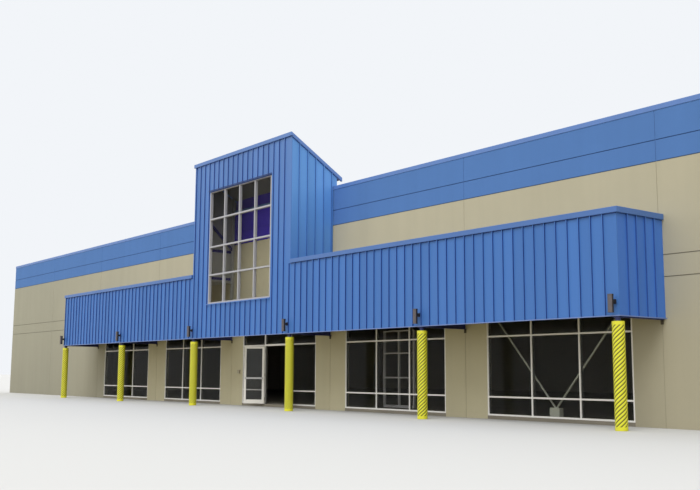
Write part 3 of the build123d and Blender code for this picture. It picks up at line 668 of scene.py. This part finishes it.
class STORE_OT_fascia(bpy.types.Operator):
    """Builds the ribbed cladding along the front of the canopy and the tower"""
    bl_idname = "store.fascia"
    bl_label = "Front cladding"

    def execute(self, context):
        size = context.scene.store_cladding
        sheet = node_copy("front_cladding", "canopy_fronts", "tower_front")
        face_y = fascia_low.y
        pan_y = face_y + size.depth
        half, tower = fascia_high.x, tower_high.x
        count = int(2 * half / size.pitch)
        ribs = [size.first + i * size.pitch for i in range(-count, count)]
        ribs = [x for x in ribs if abs(x) < half - size.corner]
        with shaping(sheet):
            # The canopy and the tower become one sheet, without the faces between them
            cut((0, 0, fascia_high.z), (0, 0, 1))
            pick(sheet, lambda f: abs(f.normal.x) > FACING
                 and f.calc_center_median().z < fascia_high.z
                 and abs(abs(f.calc_center_median().x) - tower) < NEAR)
            bpy.ops.mesh.delete(type="FACE")
            bpy.ops.mesh.select_all(action="SELECT")
            bpy.ops.mesh.remove_doubles(threshold=MERGE)
            # The pans go back by the depth of a rib, and so do the sheet's ends
            pick(sheet, lambda v: v.co.y < face_y + NEAR, "verts")
            bpy.ops.transform.translate(value=(0, size.depth, 0))
            draw_in(sheet, half, size.depth)
            draw_in(sheet, tower, size.depth)
            # A strip under each cap is cut off, to take a painted shadow line
            for z in (fascia_high.z - size.shadow, tower_high.z - size.shadow):
                cut((0, 0, z), (0, 0, 1))

            def wanted(face):
                spot = face.calc_center_median()
                past_tower = spot.z > fascia_high.z and spot.x > tower - size.pitch / 2
                return face.normal.y < -FACING and spot.y < pan_y + NEAR and not past_tower

            place_ribs(sheet, 0, ribs, size.rib, size.depth, wanted)

        def under_cap(place):
            return (place.z > tower_high.z - size.shadow
                    or (abs(place.x) > tower
                        and fascia_high.z - size.shadow < place.z < fascia_high.z))

        tag(sheet, 0, lambda c, n: True)
        # The strip under a cap gets the flank paint as a painted shadow line, and the ribs' sides
        # get it as painted shade
        tag(sheet, 1, lambda c, n: n.y < -FACING and c.y > face_y + NEAR and under_cap(c))
        tag(sheet, 1, lambda c, n: abs(n.x) > FACING and face_y + NEAR < c.y < pan_y - NEAR)
        tag(sheet, 2, lambda c, n: n.y > FACING)
        finish(sheet, [Finishes.sheet_x, Finishes.flank, Finishes.back],
               ("canopy_fronts", "tower_front"))
        return {"FINISHED"}


class STORE_OT_side_sheets(bpy.types.Operator):
    """Builds the ribbed cladding on the ends of the canopy and the sides of the tower"""
    bl_idname = "store.side_sheets"
    bl_label = "Side cladding"

    def execute(self, context):
        size = context.scene.store_cladding
        corner = fascia_low.y
        for name, node, high, first, paint in (
                ("end_cladding", "canopy_ends", end_high, size.end_rib, Finishes.sheet_end),
                ("side_cladding", "tower_sides", side_high, size.side_rib, Finishes.sheet_side)):
            sheet = node_copy(name, node)
            outer, pan_x = high.x, high.x - size.depth
            count = int((high.y - corner - first - size.back_edge) / size.pitch) + 1
            ribs = [corner + first + i * size.pitch for i in range(count)]
            # The top edge, which falls towards the back on the tower
            rim = [v.co.copy() for v in sheet.data.vertices if v.co.x > outer - NEAR]
            front_top = max(rim, key=lambda place: (-round(place.y, 3), place.z))
            back_top = max(rim, key=lambda place: (round(place.y, 3), place.z))
            fall = (front_top.z - back_top.z) / (back_top.y - front_top.y)
            with shaping(sheet):
                draw_in(sheet, outer, size.depth)
                # A strip under the cap is cut off, to take a painted shadow line
                cut((0, front_top.y, front_top.z - size.shadow), (0, fall, 1))
                place_ribs(sheet, 1, ribs, size.rib, size.depth, lambda f: abs(f.normal.x) > FACING
                           and abs(f.calc_center_median().x) > pan_x - NEAR)

            def under_cap(place):
                return place.z > front_top.z - size.shadow - fall * (place.y - front_top.y)

            tag(sheet, 0, lambda c, n: True)
            # The strip under the cap gets the flank paint as a painted shadow line, and the ribs'
            # sides get it as painted shade
            tag(sheet, 1, lambda c, n: abs(n.x) > FACING and abs(c.x) < outer - NEAR
                and under_cap(c))
            tag(sheet, 1, lambda c, n: abs(n.y) > FACING and pan_x + NEAR < abs(c.x) < outer - NEAR)
            tag(sheet, 2, lambda c, n: n.x * c.x < 0 and abs(n.x) > FACING)
            finish(sheet, [paint, Finishes.side_flank_shade, Finishes.back], (node,))
        return {"FINISHED"}


class STORE_OT_trims(bpy.types.Operator):
    """Builds the folded caps and copings, and paints the drip edges and flashings"""
    bl_idname = "store.trims"
    bl_label = "Caps and flashings"

    def execute(self, context):
        for paint, nodes in ((Finishes.trim, ("canopy_front_caps", "canopy_end_caps")),
                             (Finishes.high_trim, ("tower_front_cap", "tower_rake_caps",
                                                   "long_copings", "side_copings"))):
            for node in nodes:
                cap = rounded(node_copy(f"{node}_folded", node), context.scene.store_cladding.fold)
                finish(cap, [paint], (node,))
        dress(Finishes.drip, "drip_edges")
        dress(Finishes.flashing, "tower_window_flashings")
        return {"FINISHED"}


class STORE_OT_walls(bpy.types.Operator):
    """Paints the concrete walls and the sealant in their joints"""
    bl_idname = "store.walls"
    bl_label = "Walls"

    def execute(self, context):
        dress(Finishes.front_concrete, "front_end_panels", "front_window_panels", "entrance_legs",
              "entrance_lintel", "rear_wall")
        dress(Finishes.side_concrete, "left_wall", "right_wall")
        dress(Finishes.seal, "panel_joint_seals")
        return {"FINISHED"}


class STORE_OT_sleeves(bpy.types.Operator):
    """Builds the corrugated sleeves round the columns"""
    bl_idname = "store.sleeves"
    bl_label = "Column sleeves"

    samples = 6  # points across one corrugation
    profile = ((2, 0.55), (3, 1.0), (4, 0.55))  # which of them sink, by what share of the depth
    steps = 120  # rings of points up the sleeve
    overlap = 0.8  # where the corrugations end inside a ring, as a share of its height

    def execute(self, context):
        size = context.scene.store_columns
        places, middle_y, radius = column_places()
        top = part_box("column_sleeves")[1].z
        around = self.samples * size.starts
        bpy.ops.mesh.primitive_circle_add(vertices=around, radius=radius, location=(0, 0, 0))
        tube = bpy.context.object

        def step(point):
            return round(atan2(point.y, point.x) / (2 * pi / around)) % self.samples

        with shaping(tube):
            for wanted, share in self.profile:
                shrunk = (radius - share * size.corrugation) / radius
                pick(tube, lambda v: step(v.co) == wanted, "verts")
                bpy.ops.transform.resize(value=(shrunk, shrunk, 1), center_override=(0, 0, 0))
        rise = top - 2 * self.overlap * size.ring
        only(tube)
        helix = tube.modifiers.new("Helix", "SCREW")
        helix.axis = "Z"
        helix.angle = 2 * pi * rise / size.lead
        helix.screw_offset = rise
        helix.steps = self.steps
        helix.render_steps = self.steps
        helix.use_smooth_shade = True
        bpy.ops.object.modifier_apply(modifier=helix.name)
        with shaping(tube):
            bpy.ops.mesh.select_mode(type="EDGE")
            bpy.ops.mesh.select_non_manifold()
            bpy.ops.mesh.edge_face_add()
            bpy.ops.mesh.select_all(action="SELECT")
            bpy.ops.mesh.normals_make_consistent(inside=False)
        tube.data.transform(Matrix.Translation((0, 0, self.overlap * size.ring)))
        # How deep each point lies, which sets where the troughs' dirt and painted shade go
        groove = tube.data.attributes.new("trough", "FLOAT", "POINT")
        for point, value in zip(tube.data.vertices, groove.data):
            value.value = (radius - hypot(point.co.x, point.co.y)) / size.corrugation
        smoothed(tube, 60)
        rings = []
        for bottom in (0.0, top - size.ring):
            ring = cylinder(60, radius, size.ring, (0, 0, bottom + size.ring / 2))
            with shaping(ring):
                pick(ring, lambda f: abs(f.normal.z) > FACING)
                bpy.ops.mesh.inset(thickness=size.rim)
                swell(-size.rim / 2)
            rings.append(smoothed(rounded(ring, size.rim / 4, 1, 50)))
        sleeves = repeated("corrugated_sleeves", joined("sleeve", [tube, *rings]),
                           [(x, middle_y, 0) for x in places])
        finish(sleeves, [Finishes.enamel], ("column_sleeves",))
        return {"FINISHED"}


class STORE_OT_steel(bpy.types.Operator):
    """Paints the posts, beams and framing, and adds the bolts of the brackets"""
    bl_idname = "store.steel"
    bl_label = "Steelwork"

    def execute(self, context):
        dress(Finishes.steel, "canopy_posts", "canopy_beams", "cladding_rails")
        dress(Finishes.tower_steel, "tower_girts", "tower_braces")
        dress(Finishes.back, "cladding_uprights")
        dress(Finishes.bracket, "beam_brackets")
        size = context.scene.store_fittings
        low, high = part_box("beam_brackets")
        y = high.y - size.bracket_plate - size.bolt_head / 2
        z = low.z + size.bolt_height
        head = rounded(cylinder(6, size.bolt, size.bolt_head, turn=(pi / 2, 0, 0)),
                       size.bolt_head / 5, 1)
        bolts = repeated("bracket_bolts", head,
                         [(x + side * size.bolt_spread, y, z)
                          for x in column_places()[0] for side in (-1, 1)])
        finish(bolts, [Finishes.bracket])
        return {"FINISHED"}


class STORE_OT_glazing(bpy.types.Operator):
    """Gives the windows, the entrance and the doors their finishes"""
    bl_idname = "store.glazing"
    bl_label = "Windows and doors"

    def execute(self, context):
        dress(Finishes.frames, "window_frames", "entrance_screens", "entrance_header")
        dress(Finishes.inner_frames, "inner_screen")
        dress(Finishes.tower_frames, "tower_window_frame")
        dress(Finishes.dark_glass, "window_glass", "entrance_glass")
        dress(Finishes.door_glass, "door_left_glass", "door_right_glass")
        dress(Finishes.clear_glass, "tower_window_glass")
        dress(Finishes.doors, "door_left_frame", "door_right_frame")
        dress(Finishes.hardware, "door_left_hardware", "door_right_hardware", "hinge_plates")
        return {"FINISHED"}


class STORE_OT_lamps(bpy.types.Operator):
    """Builds the lamps on their arms"""
    bl_idname = "store.lamps"
    bl_label = "Lamps"

    sunk_wall = 0.002  # how far the tube is set back between its end bands
    sunk_end = 0.008  # how far the lens sits up the tube
    edge = 0.003  # rounding of the plate
    lit_side = -0.37  # a face of the tube past this share of +y is in the lamp's own shade

    def execute(self, context):
        size = context.scene.store_fittings
        low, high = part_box("canopy_lights")
        places = column_places()[0]
        radius = (high.x - low.x - places[-1] + places[0]) / 2
        front = low.y + radius
        band_low, band_high = low.z + size.lamp_end, high.z - size.lamp_end
        housing = cylinder(32, radius, high.z - low.z, (0, front, (high.z + low.z) / 2))
        with shaping(housing):
            for z in (band_low, band_high):
                cut((0, 0, z), (0, 0, 1))
            pick(housing, lambda f: abs(f.normal.z) < 0.5
                 and band_low < f.calc_center_median().z < band_high)
            swell(-self.sunk_wall)
            pick(housing, lambda f: abs(f.normal.z) > FACING
                 and min(abs(f.calc_center_median().z - z) for z in (low.z, high.z)) < NEAR)
            bpy.ops.mesh.inset(thickness=size.lamp_wall)
            swell(-self.sunk_end)
        smoothed(housing)
        tag(housing, 1, lambda c, n: n.y > self.lit_side and abs(n.z) < 0.5)
        tag(housing, 2, lambda c, n: abs(n.z) > FACING and hypot(c.x, c.y - front) < size.lamp_wall)
        half = size.plate / 2
        plate = rounded(block((-half, high.y - size.plate_depth, size.arm_height - half),
                              (half, high.y, size.arm_height + half)), self.edge)
        arm = cylinder(20, size.arm_radius, high.y - front,
                       (0, (high.y + front) / 2, size.arm_height), (pi / 2, 0, 0))
        knuckle = cylinder(24, size.knuckle, size.knuckle_width,
                           (0, high.y - 3 * size.plate_depth, size.arm_height), (0, pi / 2, 0))
        dark = smoothed(joined("arm", [arm, plate, rounded(knuckle, size.plate_depth / 2)]))
        tag(dark, 1, lambda c, n: True)
        # Both have all the slots before they are joined, so that the numbers hold
        for obj in (housing, dark):
            for material in (Finishes.lamp, Finishes.arm, Finishes.lens):
                obj.data.materials.append(material)
        lamps = repeated("canopy_lamps", joined("lamp", [housing, dark]),
                         [(x, 0, 0) for x in places])
        finish(lamps, [], ("canopy_lights",))
        return {"FINISHED"}


class STORE_OT_roofs(bpy.types.Operator):
    """Builds the tower roof and finishes the flat roofs and the slab"""
    bl_idname = "store.roofs"
    bl_label = "Roofs and slab"

    edge = 0.002  # width of the plain edge round the tower roof

    def execute(self, context):
        rib = context.scene.store_cladding.rib
        spacing = 2 * context.scene.store_cladding.pitch
        size = context.scene.store_roofs
        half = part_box("tower_roof")[1].x - size.rib_edge
        count = int(half / spacing) + 1
        ribs = [x for x in ((i + 0.5) * spacing for i in range(-count, count)) if abs(x) < half]
        roof = node_copy("tower_roofing", "tower_roof")
        with shaping(roof):
            pick(roof, lambda f: f.normal.z > 0.5)
            bpy.ops.mesh.inset(thickness=self.edge, use_boundary=True)
            # The ribs stop at the plain edge, which the cuts leave in small faces
            place_ribs(roof, 0, ribs, rib, size.rib_height,
                       lambda f: f.normal.z > 0.5 and f.calc_area() > rib / 2)
        tag(roof, 1, lambda c, n: n.z < -0.5)
        finish(roof, [Finishes.roof_metal, Finishes.back], ("tower_roof",))
        dress(Finishes.back_panel, "tower_back_panel")
        dress(Finishes.membrane, "roof_deck", "canopy_roofs")
        dress(Finishes.slab, "floor_slab")
        return {"FINISHED"}


class STORE_OT_fittings(bpy.types.Operator):
    """Finishes the box by the doors and the pipe braces"""
    bl_idname = "store.fittings"
    bl_label = "Box and braces"

    rim = 0.006  # width of the rim round the lid
    sunk = 0.003  # how far the lid is sunk

    def execute(self, context):
        case = block(*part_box("entrance_box"))
        with shaping(case):
            pick(case, lambda f: f.normal.y < -FACING)
            bpy.ops.mesh.inset(thickness=self.rim)
            bpy.ops.mesh.extrude_region_move(TRANSFORM_OT_translate={"value": (0, self.sunk, 0)})
        case = joined("wall_box", [rounded(case, self.sunk / 2)])
        finish(case, [Finishes.box], ("entrance_box",))
        dress(Finishes.brace, "window_braces")
        return {"FINISHED"}


class STORE_OT_stage(bpy.types.Operator):
    """Sets the floor, the light and the camera"""
    bl_idname = "store.stage"
    bl_label = "Set and camera"

    floor_size = 600  # from one side of the floor to the other
    below = 0.001  # how far the floor lies under the object
    sight = 1000  # how far the camera sees

    def execute(self, context):
        stage = context.scene.store_stage
        bpy.ops.object.select_all(action="DESELECT")
        bpy.ops.mesh.primitive_plane_add(size=self.floor_size, location=(0, 0, -self.below))
        floor = settle(bpy.context.object)
        floor.name = "set_floor"
        with shaping(floor):
            bpy.ops.mesh.select_all(action="SELECT")
            bpy.ops.mesh.subdivide(number_cuts=3)
        made, node, _ = new_material("Matt set floor")
        tone = node("Mix", {0: plainly_seen(node), 6: stage.bounce, 7: stage.floor}, **BLEND)
        shade(node, Base_Color=tone, Roughness=0.95, Specular_IOR_Level=0.1)
        floor.data.materials.append(made)

        world = bpy.data.worlds.new("Soft studio")
        context.scene.world = world
        world.use_nodes = True
        world.node_tree.nodes.clear()
        node = partial(add, world.node_tree)
        soft = node("Background", {"Color": (1.0, 1.0, 1.0), "Strength": stage.sky})
        plain = node("Background", {"Color": stage.background, "Strength": 1.0})
        both = node("MixShader", {0: plainly_seen(node), 1: soft, 2: plain})
        node("OutputWorld", {"Surface": both})

        for name, origin, spread, share in LIGHTS:
            light = bpy.data.objects.new(name, bpy.data.lights.new(name, "SUN"))
            light.data.energy = share * stage.key
            light.data.angle = radians(spread)
            light.rotation_euler = Vector(origin).to_track_quat("Z", "Y").to_euler()
            context.scene.collection.objects.link(light)

        camera = bpy.data.objects.new("camera", bpy.data.cameras.new("camera"))
        turn = Euler((pi / 2 + CAMERA_RISE, 0, CAMERA_HEADING)).to_matrix()
        turn = turn @ Matrix.Rotation(CAMERA_ROLL, 3, "Z")
        camera.matrix_world = Matrix.Translation(CAMERA_PLACE) @ turn.to_4x4()
        camera.data.sensor_width = SENSOR_WIDTH
        camera.data.lens = FOCAL_PIXELS / PICTURE_WIDTH * SENSOR_WIDTH
        camera.data.clip_end = self.sight
        context.scene.collection.objects.link(camera)
        context.scene.camera = camera
        context.scene.view_settings.view_transform = "Standard"
        return {"FINISHED"}


OPERATORS = (STORE_OT_fascia, STORE_OT_side_sheets, STORE_OT_trims, STORE_OT_walls,
             STORE_OT_sleeves, STORE_OT_steel, STORE_OT_glazing, STORE_OT_lamps, STORE_OT_roofs,
             STORE_OT_fittings, STORE_OT_stage)


class STORE_PT_panel(bpy.types.Panel):
    """Lists the pieces of the store and their settings"""
    bl_idname = "STORE_PT_panel"
    bl_label = "Flooring Store"
    bl_space_type = "VIEW_3D"
    bl_region_type = "UI"
    bl_category = "Store"

    def draw(self, context):
        for operator in OPERATORS:
            self.layout.operator(operator.bl_idname)
        for name, group in GROUPS.items():
            box = self.layout.box()
            box.label(text=name.replace("store_", "").capitalize())
            for key in group.__annotations__:
                box.prop(getattr(context.scene, name), key)


class Finishes:
    """The materials, made once from the settings. A coating's numbers are its patches' tone as a
    share of its own, the sizes of patches, grain and relief in millimetres, and its roughness."""

    @classmethod
    def make(cls, scene):
        clad, walls, columns = scene.store_cladding, scene.store_walls, scene.store_columns
        glazing, fittings, roofs = scene.store_glazing, scene.store_fittings, scene.store_roofs
        corner = fascia_low.y
        # Factory paint on steel sheet: even and satin, so that each pan catches the sky its own way
        cls.sheet_x = painted_sheet(
            "Coil-coated steel, front", clad.paint, clad.chalk, clad.chalk_low, clad.chalk_high,
            clad.pitch, clad.first, 0)
        # The canopy's ends take a bluer copy of the paint: painted light for their shaded faces
        cls.sheet_end = painted_sheet(
            "Coil-coated steel, canopy ends", clad.end_lit_paint, clad.end_lit_paint, clad.chalk_low,
            clad.chalk_high, clad.pitch, corner + clad.end_rib, 1)
        # The tower's sides turn paler higher up: painted light
        cls.sheet_side = painted_sheet(
            "Coil-coated steel, tower sides", clad.paint, clad.side_painted_light, clad.side_painted_light_low,
            clad.side_painted_light_high, clad.pitch, corner + clad.side_rib, 1)
        # Painted shade and dirt beside a rib read as a dull dark blue line; the same paint is the
        # painted shadow under caps
        cls.flank = coating("Coil-coated steel, rib flank", clad.flank, 0.8, 300, 10, 0.5, 0.6)
        cls.side_flank_shade = coating(
            "Coil-coated steel, rib flank on a side", clad.side_flank_shade, 0.85, 300, 10, 0.5, 0.6)
        # Grey primer on the hidden side of the sheet: matt, with painted shade that darkens it high
        # in the tower
        cls.back = changing_coat(
            "Primed steel sheet", clad.back, scaled(clad.back, 0.3), 2, clad.painted_shade_low,
            clad.painted_shade_high, 0.65)
        # Folded flashing in a fresher coat than the sheets, with a soft satin light on its edges
        cls.trim = coating("Folded steel trim", clad.trim_paint, 0.93, 600, 20, 0.6, 0.4)
        # The same high up, paler and less glossy where weather has chalked it
        cls.high_trim = coating(
            "Folded steel trim, weathered", clad.high_trim, 0.9, 600, 20, 0.6, 0.45)
        # A drip strip's bare lower edge: a thin pale line
        cls.drip = coating("Folded steel drip edge", clad.drip, 0.85, 500, 20, 0.5, 0.35)
        # Paint on the folds round a window: pale at the sill, and dark at the head as a painted
        # shadow
        cls.flashing = changing_coat(
            "Folded steel flashing", scaled(clad.trim_paint, 1.2), scaled(clad.flank, 0.6), 2,
            window_top - clad.head, window_top - clad.head + clad.head_shade_edge, 0.4)
        # Rolled elastomeric paint: flat and chalky, over the fine bumps of cast concrete
        cls.front_concrete = painted_concrete(
            "Painted tilt-up concrete, front and rear", walls, 1, side_high.x - walls.cover,
            fascia_high.x - walls.shelter)
        cls.side_concrete = painted_concrete("Painted tilt-up concrete, sides", walls, 0)
        # An old coat of deep blue, kept from the sun by the tower
        cls.back_panel = coating(
            "Painted sheet behind the tower", walls.old_blue, 0.85, 500, 10, 0.5, 0.6)
        # Tooled sealant under the wall's paint: a soft, slightly darker line
        cls.seal = painted_sealant("Painted joint sealant", walls)
        # Fired enamel: strong yellow with a gloss that runs along the crests
        cls.enamel = corrugated_enamel("Enamelled corrugated steel", columns)
        # Brushed alkyd paint on structural steel, slightly uneven
        cls.steel = coating("Alkyd-painted steel", columns.steel, 0.8, 250, 15, 1.0, 0.5)
        cls.tower_steel = coating(
            "Alkyd-painted steel, tower", columns.tower_steel, 0.8, 250, 15, 1.0, 0.5)
        # Old primer with rust coming through, dull and blotched
        cls.bracket = coating("Rusty steel bracket", columns.bracket, 0.6, 30, 4, 1.0, 0.8)
        # Powder-coated aluminium: smooth with a low satin sheen, with painted shade on the parts
        # behind the glass
        cls.frames = changing_coat(
            "Powder-coated aluminium", glazing.frames, scaled(glazing.frames, 0.12), 1, glass_back,
            glass_back + NEAR, 0.4)
        cls.inner_frames = coating(
            "Powder-coated aluminium, inner doors", glazing.frames, 0.92, 500, 8, 0.3, 0.4)
        # The tower's frame is dark along its head: a painted shadow
        cls.tower_frames = changing_coat(
            "Powder-coated aluminium, tower", glazing.tower_frames, scaled(clad.flank, 0.5), 2,
            window_top - glazing.head, window_top - glazing.head + glazing.head_shade_edge, 0.45)
        cls.doors = coating(
            "Powder-coated aluminium, doors", glazing.doors, 0.94, 400, 8, 0.3, 0.38)
        # Satin-brushed aluminium of pulls and hinges: a soft grey metal light
        cls.hardware = coating("Satin aluminium", glazing.hardware, 0.85, 100, 2, 0.2, 0.35, 0.8)
        # Float glass: dark and mirror-like at the storefronts, nearly clear in the tower
        cls.dark_glass = sheet_glass("Tinted float glass", glazing.glass, 0.12, 0.34)
        cls.door_glass = sheet_glass("Door glass", glazing.glass, 0.3, 0.6)
        cls.clear_glass = sheet_glass("Clear float glass", (0.02, 0.022, 0.022), 0.07, 0.3)
        # Bronze powder coat, matt with fine speckle
        cls.lamp = coating("Bronze powder coat", fittings.lamp, 0.8, 60, 3, 0.6, 0.5)
        # Sand-cast aluminium with a dark coat: dull, a little pitted
        cls.arm = coating("Dark cast aluminium", fittings.arm, 0.7, 50, 3, 0.6, 0.55)
        # Frosted glass, pale and even when it isn't lit
        cls.lens = coating("Frosted lamp lens", (0.7, 0.7, 0.66), 0.86, 20, 2, 0.3, 0.3)
        # Stove enamel, hard and even
        cls.box = coating("Grey stove enamel", fittings.box, 0.9, 50, 4, 0.4, 0.45)
        # Primer on drawn pipe: flat, with rubbed patches
        cls.brace = coating("Primed steel pipe", fittings.brace, 0.85, 200, 10, 0.8, 0.6)
        # Rolled sheet membrane: dull grey with darker laps
        cls.membrane = roof_membrane("Single-ply roof membrane", roofs.membrane, roofs.sheet)
        # Factory paint on the tower's roof sheets, a little faded
        cls.roof_metal = coating("Coil-coated steel, roof", roofs.metal, 0.9, 700, 20, 1.0, 0.4)
        # Broom-finished concrete: pale, dusty, with a fine drawn grain
        cls.slab = coating("Broom-finished concrete", roofs.slab, 0.82, 700, 12, 3.0, 0.9)


def register():
    for item in (*GROUPS.values(), *OPERATORS, STORE_PT_panel):
        bpy.utils.register_class(item)
    for name, group in GROUPS.items():
        setattr(bpy.types.Scene, name, PointerProperty(type=group))


def unregister():
    for name in GROUPS:
        delattr(bpy.types.Scene, name)
    for item in reversed((*GROUPS.values(), *OPERATORS, STORE_PT_panel)):
        bpy.utils.unregister_class(item)


def main():
    register()
    Finishes.make(bpy.context.scene)
    for operator in OPERATORS:
        space, name = operator.bl_idname.split(".")
        getattr(getattr(bpy.ops, space), name)()


if __name__ == "__main__":
    main()
